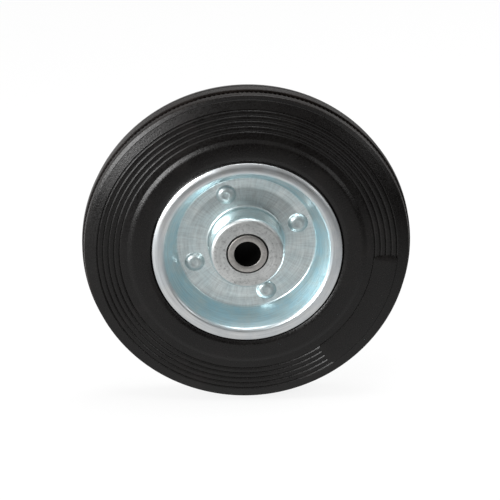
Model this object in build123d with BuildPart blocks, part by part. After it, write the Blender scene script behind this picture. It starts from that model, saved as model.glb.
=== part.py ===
from build123d import *

import os

os.makedirs("parts", exist_ok=True)

# Rubber trolley wheel, 200 mm, on a pressed steel rim with a roller bearing.
# The axle runs along Y and the front of the wheel faces -Y. The origin is the
# centre of the wheel. Every section is drawn in the XY plane, with the radius
# along X and the distance from the middle of the wheel along Y.

# Axle sleeve and hub
axle_bore = 16.2
sleeve_wall = 3.9
sleeve_stand_out = 0.8
sleeve_chamfer = 0.5
hub_length = 40.4

# Roller bearing
roller_count = 10
roller_diameter = 7.0
roller_chamfer = 0.4
roller_play = 0.05
race_wall = 2.1
race_chamfer = 1.2
race_fit = 0.05
race_end_play = 0.1
cage_clearance = 0.3
cage_end_ring = 3.1
pocket_clearance = 0.3

# Pressed rim halves
sheet = 1.5
flange_gap = 1.0
hub_round = 2.8
hub_fillet = 2.0
disc_fillet = 1.5
crease_inset = 6.6
crease_width = 0.8
crease_depth = 0.25
cone_width = 8.4
lip_width = 7.0
lip_fall = 0.3
lip_round = 3.0
lip_roll_width = 2.6
lip_roll_fall = 0.8
lip_roll_round = 4.0
lip_edge_round = 0.5
rim_depth = 18.9

# Rivets through both discs
rivet_count = 4
rivet_first_angle = 21.3
rivet_hub_gap = 4.85
rivet_corner_gap = 2.6
rivet_shank_radius = 3.0
rivet_hole_clearance = 0.1
rivet_head_radius = 6.2
rivet_head_edge = 0.5
rivet_head_height = 2.4
closed_head_radius = 5.4
closed_head_height = 1.9

# Tyre: foot and side walls
tyre_diameter = 200.0
foot_lift = 3.5
foot_round = 1.0
rubber_fit = 0.1
lip_gap = 0.4
collar_half_width = 16.2
bead_half_width = 17.7
bead_width = 14.1
bead_foot_half_width = 16.2
shoulder_half_width = 13.2
shoulder_drop = 3.0
shoulder_round = 1.0

# Tyre: tread, each depth measured from the crown
crown_half_width = 2.8
tooth_groove_width = 1.8
tooth_groove_depth = 2.2
ridge_width = 4.6
ridge_drop = 0.7
ridge_fall = 0.5
valley_depth = 4.2
valley_width = 1.0
shoulder_rib_width = 1.6
tooth_count = 220
tooth_gap_width = 2.4
tooth_gap_length = 1.4
tooth_depth = 1.2

# Tyre: grooves and plain pad on the side walls
rib_groove_count = 5
rib_groove_pitch = 3.35
rib_groove_width = 1.1
rib_groove_depth = 0.7
rib_zone_drop = 8.8
pad_first_angle = -56.0
pad_last_angle = -3.0
pad_rise = 0.35
pad_corner = 2.6

# Sizes that follow from the ones above
sleeve_radius = axle_bore / 2 + sleeve_wall
sleeve_length = hub_length + 2 * sleeve_stand_out
roller_radius = roller_diameter / 2
roller_circle_radius = sleeve_radius + roller_play + roller_radius
race_inner_radius = roller_circle_radius + roller_radius + roller_play
race_outer_radius = race_inner_radius + race_wall
race_length = hub_length - 2 * sheet - 2 * race_end_play
cage_length = hub_length - 2 * sheet - 2 * cage_clearance
roller_length = cage_length - 2 * (cage_end_ring + pocket_clearance)
barrel_radius = race_outer_radius + race_fit + sheet
hub_end = hub_length / 2
rivet_circle_radius = barrel_radius + rivet_hub_gap + rivet_head_radius
disc_radius = rivet_circle_radius + rivet_head_radius + rivet_corner_gap
crease_radius = disc_radius - crease_inset
lip_radius = disc_radius + cone_width + lip_width
tyre_radius = tyre_diameter / 2

# Corners of the visible face of a rim half, from the axle outwards
flange_edge = Vector(sleeve_radius + flange_gap, hub_end)
hub_corner = Vector(barrel_radius, hub_end)
hub_foot = Vector(barrel_radius, sheet)
disc_corner = Vector(disc_radius, sheet)
lip_corner = Vector(lip_radius - lip_width, rim_depth)
lip_crest = Vector(lip_radius - lip_roll_width, rim_depth - lip_fall)
lip_edge = Vector(lip_radius, rim_depth - lip_fall - lip_roll_fall)


def behind(start, end, depth):
    """Line through two corners of a sheet's face, moved behind the face by a depth."""
    along = (end - start).normalized()
    return Axis(start + Vector(along.Y, -along.X) * depth, along)


def ring_point(radius, angle):
    """Point on a circle round the axle, at an angle seen from the front of the wheel."""
    return Vector(radius, 0, 0).rotate(Axis.Y, -angle)


def dome_radius(base_radius, height):
    """Radius of the sphere that a dome is cut from."""
    return (base_radius**2 + height**2) / (2 * height)


# Axle sleeve: a plain steel bush that the fork clamps
with BuildPart() as axle_sleeve:
    with BuildSketch(Plane.XZ):
        Circle(sleeve_radius)
        Circle(axle_bore / 2, mode=Mode.SUBTRACT)
    extrude(amount=sleeve_length / 2, both=True)
    chamfer(axle_sleeve.edges().filter_by(GeomType.CIRCLE), sleeve_chamfer)
axle_sleeve.part.label = "axle_sleeve"
export_step(axle_sleeve.part, "parts/axle_sleeve.step")

# Rollers: one solid each, lying round the sleeve
for number in range(roller_count):
    centre = ring_point(roller_circle_radius, 360 / roller_count * number)
    with BuildPart() as roller:
        with BuildSketch(Plane(centre, z_dir=(0, 1, 0))):
            Circle(roller_radius)
        extrude(amount=roller_length / 2, both=True)
        chamfer(roller.edges().filter_by(GeomType.CIRCLE), roller_chamfer)
    roller.part.label = f"roller_{number + 1}"
    export_step(roller.part, f"parts/roller_{number + 1}.step")

# Cage: a ring with one long pocket for each roller
with BuildPart() as roller_cage:
    with BuildSketch(Plane.XZ):
        Circle(race_inner_radius - cage_clearance)
        Circle(sleeve_radius + cage_clearance, mode=Mode.SUBTRACT)
    extrude(amount=cage_length / 2, both=True)
    with BuildSketch(Plane.XZ):
        with PolarLocations(roller_circle_radius, roller_count):
            Circle(roller_radius + pocket_clearance)
    extrude(amount=roller_length / 2 + pocket_clearance, both=True, mode=Mode.SUBTRACT)
roller_cage.part.label = "roller_cage"
export_step(roller_cage.part, "parts/roller_cage.step")

# Race: the hard tube pressed into both hub cups, which the rollers run in
with BuildPart() as bearing_race:
    with BuildSketch(Plane.XZ):
        Circle(race_outer_radius)
        Circle(race_inner_radius, mode=Mode.SUBTRACT)
    extrude(amount=race_length / 2, both=True)
    outer_rims = bearing_race.edges().filter_by(GeomType.CIRCLE).group_by(SortBy.RADIUS)[-1]
    chamfer(outer_rims, race_chamfer)
bearing_race.part.label = "bearing_race"
export_step(bearing_race.part, "parts/bearing_race.step")

# Rim half: one pressing of sheet steel with hub cup, flat disc, cone and rolled lip
with BuildPart() as rear_rim_half:
    with BuildSketch(Plane.XY) as pressing:
        with BuildLine():
            FilletPolyline(
                flange_edge, hub_corner, hub_foot, disc_corner, lip_corner, lip_crest, lip_edge,
                radius=[hub_round, hub_fillet, disc_fillet, lip_round, lip_roll_round],
            )
            offset(amount=sheet, side=Side.RIGHT)
        make_face()
        fillet(pressing.vertices().sort_by(Axis.X)[-1], lip_edge_round)
    revolve(axis=Axis.Y)
    with BuildSketch(Plane.XY):
        with Locations((crease_radius, sheet)):
            Polygon((-crease_width / 2, 0), (crease_width / 2, 0), (0, -crease_depth), align=None)
    revolve(axis=Axis.Y, mode=Mode.SUBTRACT)
    with Locations(Plane.XZ):
        with PolarLocations(rivet_circle_radius, rivet_count, rivet_first_angle):
            Hole(rivet_shank_radius + rivet_hole_clearance)
rear_rim_half.part.label = "rear_rim_half"
export_step(rear_rim_half.part, "parts/rear_rim_half.step")

with BuildPart() as front_rim_half:
    mirror(rear_rim_half.part, about=Plane.XZ)
front_rim_half.part.label = "front_rim_half"
export_step(front_rim_half.part, "parts/front_rim_half.step")

# Rivets: domed head in front, shank through both discs, closed head behind
head_top = (0, -sheet - rivet_head_height)
head_shoulder = (rivet_head_radius, -sheet - rivet_head_edge)
closed_head_top = (0, sheet + closed_head_height)
for number in range(rivet_count):
    centre = ring_point(rivet_circle_radius, rivet_first_angle + 360 / rivet_count * number)
    with BuildPart() as rivet:
        with BuildSketch(Plane(centre)):
            with BuildLine():
                Line(head_top, closed_head_top)
                RadiusArc(
                    closed_head_top, (closed_head_radius, sheet),
                    dome_radius(closed_head_radius, closed_head_height),
                )
                Polyline(
                    (closed_head_radius, sheet), (rivet_shank_radius, sheet),
                    (rivet_shank_radius, -sheet), (rivet_head_radius, -sheet), head_shoulder,
                )
                RadiusArc(
                    head_shoulder, head_top,
                    dome_radius(rivet_head_radius, rivet_head_height - rivet_head_edge),
                )
            make_face()
        revolve(axis=Axis(centre, (0, 1, 0)))
    rivet.part.label = f"rivet_{number + 1}"
    export_step(rivet.part, f"parts/rivet_{number + 1}.step")

# Tyre: the seat runs behind the cone, the lip and its roll, at the rubber's own clearance
seat_depth = sheet + rubber_fit
cone_seat = behind(disc_corner, lip_corner, seat_depth)
lip_seat = behind(lip_corner, lip_crest, seat_depth)
roll_seat = behind(lip_crest, lip_edge, seat_depth)
foot_radius = disc_radius + foot_lift
collar_radius = lip_radius + lip_gap
foot_corner = cone_seat.intersect(Axis((foot_radius, 0), (0, 1)))
cone_end = cone_seat.intersect(lip_seat)
roll_start = lip_seat.intersect(roll_seat)
collar_foot = roll_seat.intersect(Axis((collar_radius, 0), (0, 1)))

# Corners of the side wall: a round bead beside the lip, then the slope to the shoulder
collar_edge = Vector(collar_radius, collar_half_width)
bead_crest = Vector(collar_radius + bead_width / 2, bead_half_width)
bead_foot = Vector(collar_radius + bead_width, bead_foot_half_width)
shoulder = Vector(tyre_radius - shoulder_drop, shoulder_half_width)

# Corners of the tread, from the shoulder to the middle of the crown
tooth_groove_end = crown_half_width + tooth_groove_width
ridge_end = tooth_groove_end + ridge_width
valley_start = ridge_end + valley_width
shoulder_rib_start = shoulder_half_width - shoulder_rib_width
ridge_edge = Vector(tyre_radius - ridge_drop - ridge_fall, ridge_end)
tooth_edge = Vector(tyre_radius - ridge_drop, tooth_groove_end)
tread_corners = [
    Vector(tyre_radius - shoulder_drop, shoulder_rib_start),
    Vector(tyre_radius - valley_depth, valley_start),
    ridge_edge,
    tooth_edge,
    Vector(tyre_radius - tooth_groove_depth, tooth_groove_end),
    Vector(tyre_radius - tooth_groove_depth, crown_half_width),
    Vector(tyre_radius, crown_half_width),
    Vector(tyre_radius, 0),
]

# Grooves of the side wall follow its slope between bead and shoulder
side_slope = (shoulder - bead_foot).normalized()
rib_zone_radius = tyre_radius - rib_zone_drop
rib_groove_radii = [rib_zone_radius - rib_groove_pitch * k for k in range(rib_groove_count)]


def side_point(radius, depth=0.0):
    """Point at a radius on the sloping side wall, sunk by a depth square to it."""
    surface = bead_foot + side_slope * ((radius - bead_foot.X) / side_slope.X)
    return surface - Vector(-side_slope.Y, side_slope.X) * depth


# Plain raised pad that interrupts the grooves on the front side wall
pad_inner_radius = rib_groove_radii[-1] - rib_groove_width / 2
pad_outer_radius = rib_groove_radii[0] + rib_groove_width / 2
pad_sweep = pad_last_angle - pad_first_angle
front_half_plane = Plane((0, 0, 0), x_dir=(1, 0, 0), z_dir=(0, 0, -1))
with BuildPart() as pad:
    with BuildSketch(front_half_plane):
        with BuildLine():
            Polyline(
                side_point(pad_inner_radius, rib_groove_depth), side_point(pad_inner_radius, -pad_rise),
                side_point(pad_outer_radius, -pad_rise), side_point(pad_outer_radius, rib_groove_depth),
                close=True,
            )
        make_face()
    revolve(axis=Axis.Y)
    with BuildSketch(Plane.XZ) as pad_outline:
        with BuildLine():
            inner_arc = CenterArc((0, 0), pad_inner_radius, pad_first_angle, pad_sweep)
            outer_arc = CenterArc((0, 0), pad_outer_radius, pad_first_angle, pad_sweep)
            Line(inner_arc @ 0, outer_arc @ 0)
            Line(inner_arc @ 1, outer_arc @ 1)
        make_face()
        chamfer(pad_outline.vertices(), pad_corner)
    extrude(amount=bead_half_width, mode=Mode.INTERSECT)

# Gap between two of the fine teeth: a V cut in the edge of a ridge, deepest at the groove.
# Its foot rises to the ridge's crest and leaves it there. The cutter is twice as high and
# as long as the gap, so that it ends in the open.
tooth_foot = tooth_edge - Vector(tooth_depth, 0)
tooth_gap_end = tooth_edge + (ridge_edge - tooth_edge) * (tooth_gap_length / ridge_width)
tooth_gap_run = (tooth_gap_end - tooth_foot) * 2
with BuildPart() as tooth_gap:
    with BuildSketch(Plane(tooth_foot, x_dir=(0, 0, 1), z_dir=(0, 1, 0))):
        Polygon(
            (0, 0), (tooth_gap_width, 2 * tooth_depth), (-tooth_gap_width, 2 * tooth_depth),
            align=None,
        )
    extrude(amount=tooth_gap_run.length, dir=tooth_gap_run)
tooth_gaps = [
    tooth_gap.part.rotate(Axis.Y, 360 / tooth_count * number) for number in range(tooth_count)
]

with BuildPart() as tyre:
    with BuildSketch(Plane.XY) as half_section:
        with BuildLine():
            FilletPolyline(
                (foot_radius, 0), foot_corner, cone_end, roll_start, collar_foot,
                radius=[foot_round, lip_round - seat_depth, lip_roll_round - seat_depth],
            )
            Line(collar_foot, collar_edge)
            ThreePointArc(collar_edge, bead_crest, bead_foot)
            FilletPolyline(bead_foot, shoulder, tread_corners[0], radius=shoulder_round)
            Polyline(*tread_corners)
            Line((tyre_radius, 0), (foot_radius, 0))
        make_face()
        for radius in rib_groove_radii:
            with BuildLine():
                Polyline(
                    side_point(radius - rib_groove_width / 2),
                    side_point(radius - rib_groove_width / 4, rib_groove_depth),
                    side_point(radius + rib_groove_width / 2),
                    close=True,
                )
            make_face(mode=Mode.SUBTRACT)
        mirror(about=Plane.XZ)
    revolve(axis=Axis.Y)
    add(tooth_gaps, mode=Mode.SUBTRACT)
    mirror(tooth_gaps, about=Plane.XZ, mode=Mode.SUBTRACT)
    add(pad.part)
tyre.part.label = "tyre"
export_step(tyre.part, "parts/tyre.step")
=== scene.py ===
# %% [markdown]
# # A rubber trolley wheel
#
# The wheel is a solid rubber tyre on a rim that is pressed from two sheets of
# zinc-plated steel. Four rivets hold the two sheets together, and a roller
# bearing turns in the hub on a plain steel sleeve.
#
# The exact model of the wheel is loaded first. It fixes every size and place, so
# what is modelled here only has to follow it: the same shapes again, with the
# small rounds, marks and finishes that make them look real.

# %% Load the exact model
import math

import bmesh
import bpy
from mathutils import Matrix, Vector


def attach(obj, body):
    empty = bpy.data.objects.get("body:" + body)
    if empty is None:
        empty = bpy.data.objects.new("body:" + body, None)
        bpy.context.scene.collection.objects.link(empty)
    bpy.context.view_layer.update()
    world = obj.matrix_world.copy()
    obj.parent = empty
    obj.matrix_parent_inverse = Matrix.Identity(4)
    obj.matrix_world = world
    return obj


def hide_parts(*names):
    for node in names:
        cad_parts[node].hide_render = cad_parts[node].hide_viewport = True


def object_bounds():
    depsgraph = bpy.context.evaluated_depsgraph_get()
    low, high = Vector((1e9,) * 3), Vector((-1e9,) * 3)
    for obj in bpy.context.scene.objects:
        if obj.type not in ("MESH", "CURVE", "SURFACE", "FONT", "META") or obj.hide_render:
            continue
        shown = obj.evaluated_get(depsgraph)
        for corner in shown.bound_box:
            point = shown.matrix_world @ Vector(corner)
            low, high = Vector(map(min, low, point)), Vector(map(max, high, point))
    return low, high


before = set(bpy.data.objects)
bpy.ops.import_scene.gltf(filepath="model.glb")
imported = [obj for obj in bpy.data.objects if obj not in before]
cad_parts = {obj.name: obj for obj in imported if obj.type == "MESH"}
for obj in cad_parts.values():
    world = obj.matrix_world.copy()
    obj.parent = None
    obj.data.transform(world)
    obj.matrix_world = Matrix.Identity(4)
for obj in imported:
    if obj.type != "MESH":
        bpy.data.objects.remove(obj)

exact_low, exact_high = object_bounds()
print("exact model, mm:", [round(1000 * size, 2) for size in exact_high - exact_low])

# %% [markdown]
# ## The camera
#
# The picture was taken with a long lens from a little above the axle, and very
# slightly from the left. A long lens keeps circles at the front and the back of
# the wheel almost the same size, so the camera stands far away. It aims beside
# the middle of the wheel, because the wheel isn't in the middle of the picture.

# %% Camera
MM = 0.001
PICTURE_SIDE = 500
PIXELS_PER_MM = 1.64
LENS = 420
WHEEL_PIXEL = (246.15, 241.1)
VIEW_TURN = math.radians(-2.3)
VIEW_RISE = math.radians(22.4)

camera_data = bpy.data.cameras.new("camera")
camera_data.lens = LENS
camera = bpy.data.objects.new("camera", camera_data)
bpy.context.scene.collection.objects.link(camera)
bpy.context.scene.camera = camera

to_camera = Vector((
    math.sin(VIEW_TURN) * math.cos(VIEW_RISE),
    -math.cos(VIEW_TURN) * math.cos(VIEW_RISE),
    math.sin(VIEW_RISE),
))
camera.rotation_mode = "QUATERNION"
camera.rotation_quaternion = to_camera.to_track_quat("Z", "Y")
picture_right = camera.rotation_quaternion @ Vector((1, 0, 0))
picture_up = camera.rotation_quaternion @ Vector((0, 1, 0))
aim = (
    picture_right * (PICTURE_SIDE / 2 - WHEEL_PIXEL[0])
    - picture_up * (PICTURE_SIDE / 2 - WHEEL_PIXEL[1])
) * MM / PIXELS_PER_MM
picture_width = PICTURE_SIDE / PIXELS_PER_MM * MM
camera_distance = picture_width * camera_data.lens / camera_data.sensor_width
camera.location = aim + to_camera * camera_distance
print(f"camera at {camera_distance:.2f} m")

# %% [markdown]
# ## Drawing a section
#
# Everything on a wheel is round, so everything is made the same way: half of its
# outline is drawn next to the axle line and then spun round that line. The outline
# starts as a small plane whose corners are merged into one point. That point is
# extruded from corner to corner, and then single corners are rounded with a bevel.
#
# Drawing with few corners and rounding them afterwards keeps each radius a number
# that can be changed, which a freely drawn curve would not. A small arc gets two
# steps and a larger one a step for about every 14 degrees, so the mesh stays light.

# %% Helpers for drawing
SMALL_ARC = 0.6
DEGREES_PER_STEP = 14
JOIN_REACH = 0.001


def spot(radius, along, turn=0.0):
    """A place from its distance to the axle line and its place along it, in mm, and its angle."""
    angle = math.radians(turn)
    return Vector((radius * math.cos(angle), along, radius * math.sin(angle))) * MM


def select_points(test):
    """Selects only the points of the edited mesh that pass the test."""
    edited = bmesh.from_edit_mesh(bpy.context.edit_object.data)
    for point in edited.verts:
        point.select_set(bool(test(point.co)))
    edited.select_flush(True)
    edited.select_flush(False)
    bmesh.update_edit_mesh(bpy.context.edit_object.data)


def near(place, reach=0.02):
    """A test for points that lie at a place, within a reach in mm."""
    return lambda co: (co - place).length < reach * MM


def start_section(name, first):
    """A new object in edit mode that holds one point, the section's first corner."""
    bpy.ops.object.select_all(action="DESELECT")
    bpy.ops.mesh.primitive_plane_add(size=2 * MM)
    piece = bpy.context.object
    piece.name = name
    piece.data.name = name
    bpy.ops.object.mode_set(mode="EDIT")
    bpy.ops.mesh.select_mode(type="VERT")
    bpy.ops.mesh.select_all(action="SELECT")
    bpy.ops.mesh.merge(type="CENTER")
    bpy.ops.transform.translate(value=first)
    return piece


def draw_section(name, corners, turn=0.0, closed=False):
    """Draws lines from corner to corner. A corner is radius, place along and maybe a rounding."""
    places = [spot(corner[0], corner[1], turn) for corner in corners]
    piece = start_section(name, places[0])
    for start, end in zip(places, places[1:]):
        bpy.ops.mesh.extrude_vertices_move(TRANSFORM_OT_translate={"value": end - start})
    if closed:
        select_points(lambda co: near(places[0])(co) or near(places[-1])(co))
        bpy.ops.mesh.edge_face_add()
    for number, corner in enumerate(corners):
        if len(corner) > 2:
            before = places[number - 1]
            after = places[(number + 1) % len(places)]
            round_corner(before, places[number], after, corner[2])
    return piece


def round_corner(before, corner, after, radius):
    """Bevels one corner, so that the arc has the radius. A small arc has only two steps."""
    turned = (corner - before).angle(after - corner)
    steps = 2
    if radius > SMALL_ARC:
        steps = max(2, round(math.degrees(turned) / DEGREES_PER_STEP))
    select_points(near(corner))
    bpy.ops.mesh.bevel(
        affect="VERTICES", offset=radius * MM * math.tan(turned / 2), segments=steps,
    )


def join_seams():
    """Joins points that lie on each other and turns all faces outwards."""
    bpy.ops.mesh.select_all(action="SELECT")
    bpy.ops.mesh.remove_doubles(threshold=JOIN_REACH * MM)
    bpy.ops.mesh.normals_make_consistent(inside=False)


def spin_section(steps, sweep=360.0):
    """Spins the drawn section round the axle line and closes the seam and the poles."""
    bpy.ops.mesh.select_all(action="SELECT")
    bpy.ops.mesh.spin(steps=steps, angle=math.radians(sweep), center=(0, 0, 0), axis=(0, 1, 0))
    join_seams()


def pick(piece):
    """Makes a piece the only one that is selected, and the active one."""
    bpy.ops.object.select_all(action="DESELECT")
    piece.select_set(True)
    bpy.context.view_layer.objects.active = piece


def finish_piece(piece, sharp=32.0):
    """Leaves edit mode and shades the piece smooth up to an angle."""
    bpy.ops.object.mode_set(mode="OBJECT")
    pick(piece)
    bpy.ops.object.shade_smooth_by_angle(angle=math.radians(sharp))
    size = [round(1000 * side, 2) for side in piece.dimensions]
    print(f"{piece.name}: {len(piece.data.polygons)} faces, {size} mm")


# %% [markdown]
# ## The rim halves
#
# A rim half is one pressing: a cup for the hub, a flat disc, a cone and a lip. Only
# the visible face is drawn. After the spin, the Solidify modifier gives it the
# thickness of the sheet, which is how a pressing really is: the same sheet all over.
# The thickness goes away from the visible face, so the face stays where it is.
#
# The rear half is a mirrored copy, made before the thickness is added.

# %% Rim half: visible face
SHEET = 1.5
DISC_FACE = -1.5
HUB_HOLE, HUB_RADIUS, HUB_END = 13.0, 22.75, -20.2
PRESSED_RING, RING_HALF_WIDTH, RING_DEPTH = 36.0, 0.9, 0.12
disc_corner, lip_corner = (42.6, DISC_FACE), (51.0, -18.9)
lip_crest, lip_edge = (55.4, -18.6), (58.0, -17.8)
rim_face = [
    (HUB_HOLE, HUB_END), (HUB_RADIUS, HUB_END, 2.8), (HUB_RADIUS, DISC_FACE, 2.0),
    (PRESSED_RING - RING_HALF_WIDTH, DISC_FACE), (PRESSED_RING, DISC_FACE),
    (PRESSED_RING + RING_HALF_WIDTH, DISC_FACE),
    (*disc_corner, 1.5), (*lip_corner, 3.0), (*lip_crest, 4.0), lip_edge,
]
front_rim = draw_section("front_rim_pressing", rim_face)
spin_section(steps=240)


def turn_to_front(piece):
    """Turns the faces over if the disc's faces look backwards."""
    edited = bmesh.from_edit_mesh(piece.data)
    disc = [face for face in edited.faces if abs(face.normal.y) > 0.99]
    if sum(face.normal.y for face in disc) > 0:
        bpy.ops.mesh.select_all(action="SELECT")
        bpy.ops.mesh.flip_normals()


turn_to_front(front_rim)
bpy.ops.object.mode_set(mode="OBJECT")

# %% Rim half: mirrored copy for the rear
pick(front_rim)
bpy.ops.object.duplicate()
rear_rim = bpy.context.object
rear_rim.name = "rear_rim_pressing"
rear_rim.data.name = "rear_rim_pressing"
bpy.ops.object.mode_set(mode="EDIT")
bpy.ops.mesh.select_all(action="SELECT")
bpy.ops.transform.resize(value=(1, -1, 1), center_override=(0, 0, 0))
bpy.ops.mesh.flip_normals()
bpy.ops.object.mode_set(mode="OBJECT")


# %% Rim halves: thickness, pressed ring and rounded edge
EDGE_ROUND = 0.5


def radius_of(co):
    """Distance from the axle line, in mm."""
    return math.hypot(co.x, co.z) / MM


def give_thickness(piece, side):
    """Adds the sheet's thickness, the shallow ring in the disc and the lip's smooth outer edge."""
    pick(piece)
    solid = piece.modifiers.new("sheet", "SOLIDIFY")
    solid.thickness = SHEET * MM
    solid.offset = -1
    solid.use_even_offset = True
    bpy.ops.object.modifier_apply(modifier="sheet")
    bpy.ops.object.mode_set(mode="EDIT")
    select_points(
        lambda co: abs(radius_of(co) - PRESSED_RING) < 0.1 and co.y * side > SHEET / 2 * MM
    )
    bpy.ops.transform.translate(value=(0, -RING_DEPTH * MM * side, 0))
    select_points(
        lambda co: radius_of(co) > lip_edge[0] - 0.1 and co.y * side > (-lip_edge[1] - 0.1) * MM
    )
    bpy.ops.mesh.bevel(affect="EDGES", offset=EDGE_ROUND * MM, segments=3)
    finish_piece(piece)


give_thickness(front_rim, side=-1)
give_thickness(rear_rim, side=1)

# %% [markdown]
# ## The rivets
#
# A rivet is a pin whose second head is formed by hammering or rolling. The made head
# in front is a low dome with a shallow dent where the punch struck it, and the closed
# head behind is smaller.
#
# One rivet is drawn and spun at the middle of the wheel, and then copied to its four
# places. Each copy has its own mesh, because its place is in its mesh.

# %% Rivets
RIVET_CIRCLE, RIVET_COUNT, FIRST_RIVET_TURN = 33.8, 4, 21.3
PIN_RADIUS = 3.0
rivet_outline = [
    (0.0, -3.5), (1.5, -3.55, 1.0), (2.3, -3.74, 0.8), (3.6, -3.6, 2.0), (5.1, -2.8, 2.0),
    (5.8, -1.75, 0.8), (6.2, DISC_FACE), (PIN_RADIUS, DISC_FACE),
    (PIN_RADIUS, -DISC_FACE), (5.4, -DISC_FACE), (5.2, 2.0, 0.4), (3.6, 3.0, 2.0), (0.0, 3.4),
]
first_rivet = draw_section("rivet_pin", rivet_outline)
spin_section(steps=48)
finish_piece(first_rivet, sharp=50)

rivets = []
for number in range(RIVET_COUNT):
    turn = FIRST_RIVET_TURN + 360 / RIVET_COUNT * number
    pick(first_rivet)
    bpy.ops.object.duplicate()
    rivet = bpy.context.object
    rivet.name = f"rivet_pin_{number + 1}"
    rivet.data.name = rivet.name
    bpy.ops.object.mode_set(mode="EDIT")
    bpy.ops.mesh.select_all(action="SELECT")
    bpy.ops.transform.translate(value=spot(RIVET_CIRCLE, 0, turn))
    bpy.ops.object.mode_set(mode="OBJECT")
    rivets.append(rivet)
bpy.data.objects.remove(first_rivet)
print("rivets:", len(rivets))

# %% [markdown]
# ## The axle sleeve
#
# The sleeve is a turned tube. Its outline is a closed rectangle with four small
# chamfers, so the two ends catch a thin bright line.

# %% Axle sleeve
BORE_RADIUS, SLEEVE_RADIUS, SLEEVE_END, CHAMFER = 8.1, 12.0, 21, 0.5
sleeve_outline = [
    (BORE_RADIUS, -SLEEVE_END, CHAMFER), (SLEEVE_RADIUS, -SLEEVE_END, CHAMFER),
    (SLEEVE_RADIUS, SLEEVE_END, CHAMFER), (BORE_RADIUS, SLEEVE_END, CHAMFER),
]
sleeve = draw_section("axle_bush", sleeve_outline, closed=True)
spin_section(steps=128)
finish_piece(sleeve)

# %% [markdown]
# ## The tyre
#
# The tyre is moulded in one piece, and both its halves are alike, so half the section
# is drawn and mirrored. From the foot, which grips the cone and the lip of the rim, it
# runs over the side wall with its five fine grooves to the shoulder, a valley, a ridge,
# a narrow groove and the crown.
#
# The grooves are drawn into the section. The teeth can't be, because they repeat round
# the wheel: the section is spun in two steps for each tooth, and then every second point
# of the ridge's edge is drawn in towards the axle, which folds the edge into a saw. The
# rubber's seat lies a tenth of a millimetre behind the sheet, so the two never touch.

# %% Tyre: half section
RUBBER_BEHIND = SHEET + 0.1
TOOTH_COUNT, TOOTH_DEPTH = 220, 1.2
RIDGE_RADIUS, RIDGE_EDGE = 99.3, -4.6
TREAD_RADIUS, HAIRLINE = 100.0, 0.15
GROOVE_COUNT, OUTER_GROOVE, GROOVE_PITCH = 5, 91.2, 3.35
GROOVE_HALF_WIDTH, GROOVE_DEPTH, GROOVE_ROUND = 0.75, 0.6, 0.6
bead_end, side_wall_end = Vector((72.9, -16.15)), Vector((91.9, -14.9))
side_wall_run = (side_wall_end - bead_end).normalized()


def behind(before, corner, after):
    """The corner of the rubber's seat that lies behind a corner of the rim's visible face."""
    squares = []
    for start, end in ((before, corner), (corner, after)):
        along = (Vector(end) - Vector(start)).normalized()
        squares.append(Vector((-along.y, along.x)))
    spread = 1 + squares[0].dot(squares[1])
    return Vector(corner) + (squares[0] + squares[1]) * (RUBBER_BEHIND / spread)


def on_side_wall(radius, depth=0.0):
    """A corner at a radius on the sloping side wall, sunk into the rubber by a depth."""
    surface = bead_end + side_wall_run * ((radius - bead_end.x) / side_wall_run.x)
    inwards = Vector((-side_wall_run.y, side_wall_run.x))
    sunk = surface + inwards * depth
    return (sunk.x, sunk.y)


cone_end = behind(disc_corner, lip_corner, lip_crest)
roll_start = behind(lip_corner, lip_crest, lip_edge)
tyre_outline = [
    (46.1, 0.0), (46.1, -5.07, 1.0), (*cone_end, 1.4), (*roll_start, 2.4), (58.4, -15.6),
    (58.7, -15.8), (58.8, -16.8, 0.5), (61.6, -17.55, 3.0), (70.3, -17.6, 4.0), (*bead_end, 1.6),
]
groove_radii = [OUTER_GROOVE - GROOVE_PITCH * number for number in range(GROOVE_COUNT)]
for radius in reversed(groove_radii):
    tyre_outline += [
        (*on_side_wall(radius - GROOVE_HALF_WIDTH), GROOVE_ROUND),
        on_side_wall(radius, GROOVE_DEPTH),
        (*on_side_wall(radius + GROOVE_HALF_WIDTH), GROOVE_ROUND),
    ]
tyre_outline += [
    (*side_wall_end, 6.0), (97.0, -13.2, 0.9), (97.0, -11.7, 0.3), (94.8, -10.5, 0.5),
    (98.8, -9.2, 0.5), (99.14, -6.0), (RIDGE_RADIUS, RIDGE_EDGE), (97.8, RIDGE_EDGE),
    (97.8, -2.8), (TREAD_RADIUS, -2.8, 0.3), (TREAD_RADIUS, -1.5),
    (TREAD_RADIUS - HAIRLINE, -1.35), (TREAD_RADIUS, -1.2),
    (TREAD_RADIUS, -0.15), (TREAD_RADIUS - HAIRLINE, 0.0),
]
tyre = draw_section("moulded_tyre", tyre_outline)
print("tyre section:", len(bmesh.from_edit_mesh(tyre.data).verts), "points")

# %% Tyre: spin, teeth and mirror
spin_section(steps=2 * TOOTH_COUNT)


def between_teeth(co):
    """True for every second column of points round the wheel."""
    column = math.degrees(math.atan2(co.z, co.x)) * 2 * TOOTH_COUNT / 360
    return round(column) % 2 == 0


def gap_foot(co):
    """True for the points of the ridge's edge that lie between two teeth."""
    on_edge = abs(co.y / MM - RIDGE_EDGE) < 0.05 and radius_of(co) > RIDGE_RADIUS - 0.3
    return on_edge and between_teeth(co)


select_points(gap_foot)
sunk_edge = (RIDGE_RADIUS - TOOTH_DEPTH) / RIDGE_RADIUS
bpy.ops.transform.resize(value=(sunk_edge, 1, sunk_edge), center_override=(0, 0, 0))
bpy.ops.object.mode_set(mode="OBJECT")

mirror = tyre.modifiers.new("other_half", "MIRROR")
mirror.use_axis = (False, True, False)
mirror.merge_threshold = JOIN_REACH * MM
bpy.ops.object.modifier_apply(modifier="other_half")
bpy.ops.object.mode_set(mode="EDIT")
join_seams()
finish_piece(tyre, sharp=35)

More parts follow.
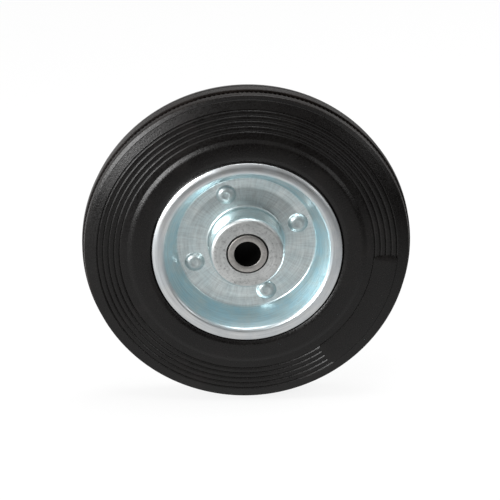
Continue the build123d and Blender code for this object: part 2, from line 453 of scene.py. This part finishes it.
# %% [markdown]
# ## The plain pad on the side wall
#
# On one stretch of the front side wall the mould leaves a plain raised pad in place of
# the grooves. It is a low plate that follows the slope of the wall, with a root that is
# sunk deeper than the grooves, so it fills them. It is drawn, spun through its own angle
# only, and its four corners and its rim are rounded. The spin has few steps, because a
# corner has to be smaller than one step. Then the pad is joined to the tyre, because it
# is the same rubber from the same mould.

# %% Pad
PAD_START, PAD_END = -3.0, -56.0
PAD_INSIDE, PAD_OUTSIDE = 77.25, 91.75
PAD_ROOT, PAD_RISE = 0.7, 0.35
pad_outline = [
    on_side_wall(PAD_INSIDE, PAD_ROOT), on_side_wall(PAD_INSIDE, -PAD_RISE),
    on_side_wall(PAD_OUTSIDE, -PAD_RISE), on_side_wall(PAD_OUTSIDE, PAD_ROOT),
]
pad = draw_section("pad", pad_outline, turn=PAD_START, closed=True)
bpy.ops.mesh.select_all(action="SELECT")
bpy.ops.mesh.edge_face_add()
spin_section(steps=14, sweep=PAD_END - PAD_START)


# %% Pad: round corners and soft rim
def turn_of(co):
    """Angle round the axle line, in degrees."""
    return math.degrees(math.atan2(co.z, co.x))


def at_pad_end(co):
    """True for the points at the two ends of the pad."""
    return min(abs(turn_of(co) - PAD_START), abs(turn_of(co) - PAD_END)) < 0.1


def at_corner(edge):
    """True for an upright edge at one of the pad's four corners."""
    start, end = [point.co for point in edge.verts]
    along = abs(start.y - end.y) > 0.9 * (PAD_ROOT + PAD_RISE) * MM
    upright = along and abs(radius_of(start) - radius_of(end)) < 0.5
    return upright and at_pad_end(start) and at_pad_end(end)


def on_rim(edge):
    """True for an edge where the pad's top is folded down, half its rise or more above the wall."""
    folded = len(edge.link_faces) == 2 and edge.calc_face_angle() > 1.0
    return folded and all(
        point.co.y / MM < on_side_wall(radius_of(point.co))[1] - PAD_RISE / 2
        for point in edge.verts
    )


def round_edges(test, radius, steps):
    """Rounds only the edges of the edited mesh that pass the test."""
    bpy.ops.mesh.select_mode(type="EDGE")
    bpy.ops.mesh.select_all(action="DESELECT")
    edited = bmesh.from_edit_mesh(bpy.context.edit_object.data)
    chosen = [edge for edge in edited.edges if test(edge)]
    for edge in chosen:
        edge.select_set(True)
    bmesh.update_edit_mesh(bpy.context.edit_object.data)
    bpy.ops.mesh.bevel(affect="EDGES", offset=radius * MM, segments=steps)
    print("edges rounded:", len(chosen))


round_edges(at_corner, radius=3.4, steps=5)
round_edges(on_rim, radius=0.3, steps=2)
finish_piece(pad)

pick(tyre)
pad.select_set(True)
bpy.ops.object.join()
print("tyre with its pad:", len(tyre.data.polygons), "faces")

# %% [markdown]
# ## Bodies of the new pieces
#
# Each new piece moves with a body of the exact model, and the exact node that it
# stands for is hidden.

# %% Bodies and hidden nodes
for rim, node in ((front_rim, "front_rim_half"), (rear_rim, "rear_rim_half")):
    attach(rim, "wheel")
    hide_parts(node)
for number, rivet in enumerate(rivets):
    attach(rivet, "wheel")
    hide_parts(f"rivet_{number + 1}")
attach(sleeve, "sleeve")
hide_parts("axle_sleeve")
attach(tyre, "wheel")
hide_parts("tyre")

# %% [markdown]
# ## Writing materials
#
# A material is a small graph of nodes. `linear` turns a colour as it is picked on a
# screen into the linear numbers that light needs, and `add_node` adds a node with its
# settings and links. The other helpers start a material, fill a scale of colours and
# link the last shader.


# %% Helpers for materials
def linear(code):
    """Linear colour from an sRGB hex code."""
    parts = [int(code[at:at + 2], 16) / 255 for at in (1, 3, 5)]
    return (*(p / 12.92 if p <= 0.04045 else ((p + 0.055) / 1.055) ** 2.4 for p in parts), 1.0)


def new_material(name):
    """An empty node material with its output node."""
    material = bpy.data.materials.new(name)
    material.use_nodes = True
    material.node_tree.nodes.clear()
    material.node_tree.nodes.new("ShaderNodeOutputMaterial")
    return material


def add_node(tree, kind, inputs=None, **settings):
    """Adds a node. An input is given a number, a colour, or another node's socket to link from."""
    node = tree.nodes.new(kind)
    for name, value in settings.items():
        setattr(node, name, value)
    for name, value in (inputs or {}).items():
        if isinstance(value, bpy.types.NodeSocket):
            tree.links.new(value, node.inputs[name])
        else:
            node.inputs[name].default_value = value
    return node


def set_stops(scale, *stops):
    """Gives a scale of colours its stops. A stop is (place, hex code)."""
    scale.elements.remove(scale.elements[1])
    scale.elements[0].position = stops[0][0]
    scale.elements[0].color = linear(stops[0][1])
    for place, code in stops[1:]:
        scale.elements.new(place).color = linear(code)


def use_surface(material, shader):
    """Links a shader to the material's output."""
    output = material.node_tree.nodes["Material Output"]
    material.node_tree.links.new(shader.outputs[0], output.inputs["Surface"])


# %% [markdown]
# ## Moulded rubber
#
# The tyre is black rubber filled with carbon and pressed in a polished steel mould. It
# is almost black with a satin sheen, and oil and dust leave it a little warmer in
# patches. The crown, which rolls on the floor, has lost its skin and is browner. The
# mould leaves a fine grain that also breaks up the sheen. A real grain is about a tenth
# of a millimetre, too fine to show here, so it is drawn about a millimetre wide.

# %% Rubber: patches, grain and worn crown
rubber = new_material("vulcanised_rubber")
tree = rubber.node_tree
place = add_node(tree, "ShaderNodeTexCoord").outputs["Object"]
patches = add_node(tree, "ShaderNodeTexNoise", {
    "Vector": place, "Scale": 1 / (26 * MM), "Detail": 7.0, "Roughness": 0.62,
}).outputs["Fac"]
grain = add_node(tree, "ShaderNodeTexNoise", {
    "Vector": place, "Scale": 1 / (1.1 * MM), "Detail": 3.0, "Roughness": 0.6,
}).outputs["Fac"]
skin = add_node(tree, "ShaderNodeValToRGB", {"Fac": patches})
set_stops(skin.color_ramp, (0.30, "#060404"), (0.55, "#090706"), (0.72, "#110d0c"))
bare = add_node(tree, "ShaderNodeValToRGB", {"Fac": patches})
set_stops(bare.color_ramp, (0.35, "#0d0907"), (0.65, "#17100c"))
split = add_node(tree, "ShaderNodeSeparateXYZ", {"Vector": place})
flat = add_node(tree, "ShaderNodeCombineXYZ", {"X": split.outputs["X"], "Y": split.outputs["Z"]})
radius = add_node(tree, "ShaderNodeVectorMath", {0: flat.outputs["Vector"]}, operation="LENGTH")
wear = add_node(tree, "ShaderNodeMapRange", {
    "Value": radius.outputs["Value"], "From Min": 97.4 * MM, "From Max": 99.4 * MM,
}).outputs["Result"]
tint = add_node(tree, "ShaderNodeMix", {0: wear}, data_type="RGBA")
tree.links.new(skin.outputs["Color"], tint.inputs[6])
tree.links.new(bare.outputs["Color"], tint.inputs[7])

# %% Rubber: sheen
sheen = add_node(tree, "ShaderNodeMapRange", {
    "Value": patches, "From Min": 0.3, "From Max": 0.7, "To Min": 0.2, "To Max": 0.28,
}).outputs["Result"]
grainy = add_node(tree, "ShaderNodeMapRange", {
    "Value": grain, "From Min": 0.35, "From Max": 0.65, "To Min": 0.0, "To Max": 0.12,
})
rough = add_node(tree, "ShaderNodeMath", {0: sheen, 1: grainy.outputs["Result"]}, operation="ADD")
bump = add_node(tree, "ShaderNodeBump", {"Height": grain, "Strength": 0.4, "Distance": 0.2 * MM})
shader = add_node(tree, "ShaderNodeBsdfPrincipled", {
    "Base Color": tint.outputs[2], "Roughness": rough.outputs["Value"],
    "Normal": bump.outputs["Normal"], "IOR": 1.5, "Specular IOR Level": 0.4,
})
use_surface(rubber, shader)

# %% [markdown]
# ## Zinc plate with a pale blue passivate
#
# The rim is cold-rolled sheet with a few micrometres of zinc, dipped in a passivate
# that leaves a thin clear film of a pale blue tint. The tint changes with the thickness
# of the film, and that changes with the place: it is thin on the hub and the lip, which
# get rubbed, and thick down in the cone. The press draws the sheet over its die, which
# leaves fine streaks away from the axle, and turning leaves marks round it. Both are
# drawn about a millimetre wide, coarser than the real ones, so that they show. Where the
# plate is rubbed, it is duller and holds small specks of dirt.
#
# What changes from the hub to the lip is set on one scale, the zone: the distance from
# the axle line as a share of 60 mm. The hub's barrel is at 0.38 and the lip at 0.92.

# %% Zinc plate: places on the sheet
ZONE_END = 60
zinc = new_material("zinc_plate_blue_passivate")
tree = zinc.node_tree
place = add_node(tree, "ShaderNodeTexCoord").outputs["Object"]
split = add_node(tree, "ShaderNodeSeparateXYZ", {"Vector": place})
flat = add_node(tree, "ShaderNodeCombineXYZ", {
    "X": split.outputs["X"], "Y": split.outputs["Z"],
}).outputs["Vector"]
radius = add_node(tree, "ShaderNodeVectorMath", {0: flat}, operation="LENGTH").outputs["Value"]
outwards = add_node(tree, "ShaderNodeVectorMath", {
    0: flat,
}, operation="NORMALIZE").outputs["Vector"]
depth = add_node(tree, "ShaderNodeMath", {
    0: split.outputs["Y"],
}, operation="ABSOLUTE").outputs["Value"]
way = add_node(tree, "ShaderNodeMath", {0: radius, 1: depth}, operation="ADD").outputs["Value"]
along_sheet = add_node(tree, "ShaderNodeCombineXYZ", {"Z": way}).outputs["Vector"]

# %% Zinc plate: tint of the film
film = add_node(tree, "ShaderNodeTexNoise", {
    "Vector": place, "Scale": 1 / (14 * MM), "Detail": 6.0, "Roughness": 0.66,
}).outputs["Fac"]
zone = add_node(tree, "ShaderNodeMath", {
    0: radius, 1: 1 / (ZONE_END * MM),
}, operation="MULTIPLY").outputs["Value"]
thin_film = add_node(tree, "ShaderNodeValToRGB", {"Fac": zone})
set_stops(
    thin_film.color_ramp, (0.35, "#e8eae9"), (0.38, "#e0eaea"), (0.43, "#e3ecec"),
    (0.69, "#e3ecec"), (0.73, "#e4eeef"), (0.83, "#e4eced"), (0.88, "#eceeee"),
)
thick_film = add_node(tree, "ShaderNodeValToRGB", {"Fac": zone})
set_stops(
    thick_film.color_ramp, (0.35, "#c9cccb"), (0.38, "#d4e6e9"), (0.43, "#d6e4e6"),
    (0.69, "#d6e4e6"), (0.73, "#cdeaf4"), (0.83, "#d2e9f0"), (0.88, "#dfe4e7"),
)
thickness = add_node(tree, "ShaderNodeMapRange", {
    "Value": film, "From Min": 0.36, "From Max": 0.62,
})
tint = add_node(tree, "ShaderNodeMix", {0: thickness.outputs["Result"]}, data_type="RGBA")
tree.links.new(thin_film.outputs["Color"], tint.inputs[6])
tree.links.new(thick_film.outputs["Color"], tint.inputs[7])

# %% Zinc plate: marks round the axle and streaks away from it
turned = add_node(tree, "ShaderNodeVectorMath", {0: outwards, "Scale": 2.5}, operation="SCALE")
ring_steps = add_node(tree, "ShaderNodeVectorMath", {
    0: along_sheet, "Scale": 1 / (0.8 * MM),
}, operation="SCALE")
ring_place = add_node(tree, "ShaderNodeVectorMath", {
    0: turned.outputs["Vector"], 1: ring_steps.outputs["Vector"],
}, operation="ADD")
rings = add_node(tree, "ShaderNodeTexNoise", {
    "Vector": ring_place.outputs["Vector"], "Scale": 1.0, "Detail": 3.0, "Roughness": 0.6,
}).outputs["Fac"]
fanned = add_node(tree, "ShaderNodeVectorMath", {0: outwards, "Scale": 28.0}, operation="SCALE")
draw_steps = add_node(tree, "ShaderNodeVectorMath", {
    0: along_sheet, "Scale": 1 / (9 * MM),
}, operation="SCALE")
draw_place = add_node(tree, "ShaderNodeVectorMath", {
    0: fanned.outputs["Vector"], 1: draw_steps.outputs["Vector"],
}, operation="ADD")
streaks = add_node(tree, "ShaderNodeTexNoise", {
    "Vector": draw_place.outputs["Vector"], "Scale": 1.0, "Detail": 3.0, "Roughness": 0.6,
}).outputs["Fac"]
drawn = add_node(tree, "ShaderNodeValToRGB", {"Fac": zone})
set_stops(
    drawn.color_ramp, (0.39, "#303030"), (0.43, "#ffffff"), (0.69, "#ffffff"), (0.73, "#404040"),
)
swing = add_node(tree, "ShaderNodeMapRange", {"Value": streaks, "To Min": -0.5, "To Max": 0.5})
marks = add_node(tree, "ShaderNodeMath", {
    0: swing.outputs["Result"], 1: drawn.outputs["Color"], 2: rings,
}, operation="MULTIPLY_ADD").outputs["Value"]

# %% Zinc plate: gloss
rubbed = add_node(tree, "ShaderNodeValToRGB", {"Fac": zone})
set_stops(
    rubbed.color_ramp, (0.35, "#ffffff"), (0.39, "#404040"), (0.45, "#080808"),
    (0.69, "#080808"), (0.74, "#080808"), (0.84, "#080808"), (0.89, "#606060"),
)
worn = add_node(tree, "ShaderNodeMapRange", {
    "Value": rubbed.outputs["Color"], "To Min": 0.27, "To Max": 0.36,
})
gloss = add_node(tree, "ShaderNodeMapRange", {
    "Value": film, "From Min": 0.3, "From Max": 0.7, "To Min": 0.0, "To Max": 0.12,
})
rough = add_node(tree, "ShaderNodeMath", {
    0: worn.outputs["Result"], 1: gloss.outputs["Result"],
}, operation="ADD")
shade = add_node(tree, "ShaderNodeMapRange", {
    "Value": marks, "From Min": 0.2, "From Max": 0.8, "To Min": 0.8, "To Max": 1.16,
})
specks = add_node(tree, "ShaderNodeTexNoise", {
    "Vector": place, "Scale": 1 / (1.8 * MM), "Detail": 4.0, "Roughness": 0.7,
})
dirt = add_node(tree, "ShaderNodeMapRange", {
    "Value": specks.outputs["Fac"], "From Min": 0.54, "From Max": 0.72, "To Max": 0.5,
})
held = add_node(tree, "ShaderNodeMath", {
    0: dirt.outputs["Result"], 1: rubbed.outputs["Color"],
}, operation="MULTIPLY")
clean = add_node(tree, "ShaderNodeMath", {
    0: shade.outputs["Result"], 1: held.outputs["Value"],
}, operation="SUBTRACT")
marked = add_node(tree, "ShaderNodeVectorMath", {
    0: tint.outputs[2], "Scale": clean.outputs["Value"],
}, operation="SCALE")
bump = add_node(tree, "ShaderNodeBump", {"Height": marks, "Strength": 0.3, "Distance": 0.05 * MM})
shader = add_node(tree, "ShaderNodeBsdfPrincipled", {
    "Base Color": marked.outputs["Vector"], "Metallic": 1.0, "Roughness": rough.outputs["Value"],
    "Normal": bump.outputs["Normal"],
})
use_surface(zinc, shader)

# %% [markdown]
# ## Plated rivets, turned steel and nylon
#
# The rivets have the same plating, a little duller than the sheet. The sleeve is bare
# turned steel, and its bore is painted near-black: painted shade for the deep shadow
# inside it. The bearing parts are ground steel, and the cage is black nylon.


# %% Other metals and nylon
def spotted_metal(name, dark, light, spots_mm, rough_low, rough_high):
    """A metal whose tone and gloss vary in spots of a size."""
    material = new_material(name)
    tree = material.node_tree
    place = add_node(tree, "ShaderNodeTexCoord").outputs["Object"]
    spots = add_node(tree, "ShaderNodeTexNoise", {
        "Vector": place, "Scale": 1 / (spots_mm * MM), "Detail": 5.0, "Roughness": 0.65,
    }).outputs["Fac"]
    tint = add_node(tree, "ShaderNodeValToRGB", {"Fac": spots})
    set_stops(tint.color_ramp, (0.32, dark), (0.66, light))
    gloss = add_node(tree, "ShaderNodeMapRange", {
        "Value": spots, "From Min": 0.3, "From Max": 0.7, "To Min": rough_high, "To Max": rough_low,
    })
    shader = add_node(tree, "ShaderNodeBsdfPrincipled", {
        "Base Color": tint.outputs["Color"], "Metallic": 1.0, "Roughness": gloss.outputs["Result"],
    })
    use_surface(material, shader)
    return material


rivet_plate = spotted_metal("zinc_plated_rivet_steel", "#b4c2c4", "#d2dada", 1.6, 0.38, 0.5)
turned_steel = spotted_metal("turned_free_cutting_steel", "#a9a6a2", "#c9c6c2", 2.0, 0.3, 0.45)
ground_steel = spotted_metal("ground_bearing_steel", "#9a9da0", "#c3c6c8", 1.5, 0.12, 0.2)


def dark_matt_material(name, dark, light, spots_mm, roughness, shine):
    """A dark matt material with faint spots of a size, for plastic and for painted shade."""
    material = new_material(name)
    tree = material.node_tree
    place = add_node(tree, "ShaderNodeTexCoord").outputs["Object"]
    spots = add_node(tree, "ShaderNodeTexNoise", {
        "Vector": place, "Scale": 1 / (spots_mm * MM), "Detail": 4.0, "Roughness": 0.6,
    })
    tint = add_node(tree, "ShaderNodeValToRGB", {"Fac": spots.outputs["Fac"]})
    set_stops(tint.color_ramp, (0.35, dark), (0.7, light))
    shader = add_node(tree, "ShaderNodeBsdfPrincipled", {
        "Base Color": tint.outputs["Color"], "Roughness": roughness, "IOR": 1.5,
        "Specular IOR Level": shine,
    })
    use_surface(material, shader)
    return material


nylon = dark_matt_material("black_glass_filled_nylon", "#0c0c0d", "#161617", 1.2, 0.5, 0.3)
# The bore is near-black: painted shade for the deep shadow inside the sleeve.
painted_shade_bore = dark_matt_material("painted_shade_in_the_bore", "#040404", "#0b0a09", 1.5, 0.9, 0.04)


# %% Give each piece its material
def dress(piece, *materials):
    """Replaces all the materials of a piece."""
    piece.data.materials.clear()
    for material in materials:
        piece.data.materials.append(material)


dress(tyre, rubber)
dress(front_rim, zinc)
dress(rear_rim, zinc)
for rivet in rivets:
    dress(rivet, rivet_plate)
dress(sleeve, turned_steel, painted_shade_bore)
# The faces of the bore get the near-black painted shade.
for face in sleeve.data.polygons:
    if radius_of(face.center) < BORE_RADIUS + 0.1:
        face.material_index = 1

node_materials = {"tyre": rubber, "front_rim_half": zinc, "rear_rim_half": zinc,
                  "axle_sleeve": turned_steel, "bearing_race": ground_steel, "roller_cage": nylon}
for name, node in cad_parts.items():
    if name.startswith("roller_") and name != "roller_cage":
        node_materials[name] = ground_steel
    if name.startswith("rivet_"):
        node_materials[name] = rivet_plate
    dress(node, node_materials[name])
print("materials on exact nodes:", len(node_materials))

# %% [markdown]
# ## Floor, world and lamps
#
# The wheel stands on a plain white floor in a studio. The camera sees the floor and the
# world as plain white. What reflects in the metal sees the same floor, bright round the
# wheel and fading towards the camera and the right, where a studio is dark, and a world
# that is brighter overhead and behind. The light that the floor gives comes from the
# lamps alone, so colours come out as they are written and the wheel keeps its shadow.

# %% Floor
FLOOR_SIDE, WHITE_SHARE = 14, 0.85
bpy.ops.object.select_all(action="DESELECT")
bpy.ops.mesh.primitive_plane_add(size=FLOOR_SIDE, location=(0, 0, exact_low.z))
floor = bpy.context.object
floor.name = "floor"

floor_paint = new_material("white_floor_paint")
tree = floor_paint.node_tree
rays = add_node(tree, "ShaderNodeLightPath").outputs
mirrored = add_node(tree, "ShaderNodeMath", {
    0: rays["Is Glossy Ray"], 1: rays["Is Transmission Ray"],
}, operation="MAXIMUM")
looked_at = add_node(tree, "ShaderNodeMath", {
    0: rays["Is Camera Ray"], 1: WHITE_SHARE,
}, operation="MULTIPLY")
share = add_node(tree, "ShaderNodeMath", {
    0: looked_at.outputs["Value"], 1: mirrored.outputs["Value"],
}, operation="MAXIMUM")
floor_place = add_node(tree, "ShaderNodeSeparateXYZ", {
    "Vector": add_node(tree, "ShaderNodeTexCoord").outputs["Object"],
})
fade = add_node(tree, "ShaderNodeMapRange", {
    "Value": floor_place.outputs["Y"], "From Min": -0.52, "From Max": -0.3,
    "To Min": 0.04, "To Max": 0.6,
}, interpolation_type="SMOOTHSTEP")
rightwards = add_node(tree, "ShaderNodeMapRange", {
    "Value": floor_place.outputs["X"], "From Min": 0.1, "From Max": 0.4,
    "To Min": 1.0, "To Max": 0.3,
}, interpolation_type="SMOOTHSTEP")
faded = add_node(tree, "ShaderNodeMath", {
    0: fade.outputs["Result"], 1: rightwards.outputs["Result"],
}, operation="MULTIPLY")
brightness = add_node(tree, "ShaderNodeMath", {
    0: rays["Is Camera Ray"], 1: faded.outputs["Value"],
}, operation="MAXIMUM")
matt = add_node(tree, "ShaderNodeBsdfDiffuse", {"Color": linear("#f2f2f2")})
glow = add_node(tree, "ShaderNodeEmission", {
    "Color": linear("#ffffff"), "Strength": brightness.outputs["Value"],
})
shader = add_node(tree, "ShaderNodeMixShader", {
    0: share.outputs["Value"], 1: matt.outputs[0], 2: glow.outputs[0],
})
use_surface(floor_paint, shader)
floor.data.materials.append(floor_paint)

# %% World
world = bpy.data.worlds.new("studio")
bpy.context.scene.world = world
world.use_nodes = True
tree = world.node_tree
tree.nodes.clear()
rays = add_node(tree, "ShaderNodeLightPath").outputs
direction = add_node(tree, "ShaderNodeSeparateXYZ", {
    "Vector": add_node(tree, "ShaderNodeTexCoord").outputs["Generated"],
})
overhead = add_node(tree, "ShaderNodeMapRange", {
    "Value": direction.outputs["Z"], "From Min": 0.12, "From Max": 0.42,
    "To Min": 0.0, "To Max": 0.36,
}, interpolation_type="SMOOTHSTEP")
behind_wheel = add_node(tree, "ShaderNodeMapRange", {
    "Value": direction.outputs["Y"], "From Min": -0.6, "From Max": 0.2,
    "To Min": 0.04, "To Max": 0.55,
}, interpolation_type="SMOOTHSTEP")
soft = add_node(tree, "ShaderNodeMath", {
    0: overhead.outputs["Result"], 1: behind_wheel.outputs["Result"],
}, operation="MAXIMUM")
strength = add_node(tree, "ShaderNodeMath", {
    0: rays["Is Camera Ray"], 1: soft.outputs["Value"],
}, operation="MAXIMUM")
backdrop = add_node(tree, "ShaderNodeBackground", {
    "Color": linear("#ffffff"), "Strength": strength.outputs["Value"],
})
add_node(tree, "ShaderNodeOutputWorld", {"Surface": backdrop.outputs[0]})


# %% Lamps
def soft_lamp(name, place, size, power):
    """A soft lamp with straight sides that faces the wheel."""
    data = bpy.data.lights.new(name, "AREA")
    data.shape = "RECTANGLE"
    data.size, data.size_y = size
    data.energy = power
    lamp = bpy.data.objects.new(name, data)
    bpy.context.scene.collection.objects.link(lamp)
    lamp.location = place
    lamp.rotation_mode = "QUATERNION"
    lamp.rotation_quaternion = Vector(place).to_track_quat("Z", "Y")
    lamp.visible_camera = False


soft_lamp("front_left_soft_box", (-0.84, -0.96, 0.32), (0.6, 0.55), 13)
soft_lamp("left_soft_box", (-1.0, -0.2, 0.3), (0.4, 0.8), 4)
soft_lamp("top_soft_box", (0.1, -0.05, 1.1), (1.0, 0.7), 9)
soft_lamp("front_right_soft_box", (0.86, -0.95, 0.28), (0.35, 0.4), 0.8)
soft_lamp("right_soft_box", (0.95, 0.2, 0.5), (0.4, 0.8), 5)

# %% [markdown]
# ## Plain view settings
#
# The dressed wheel is made to stay inside the box of the exact model, whose size is
# printed when that model is loaded. The view transform is set to Standard.

# %% Plain view settings
bpy.context.scene.view_settings.view_transform = "Standard"
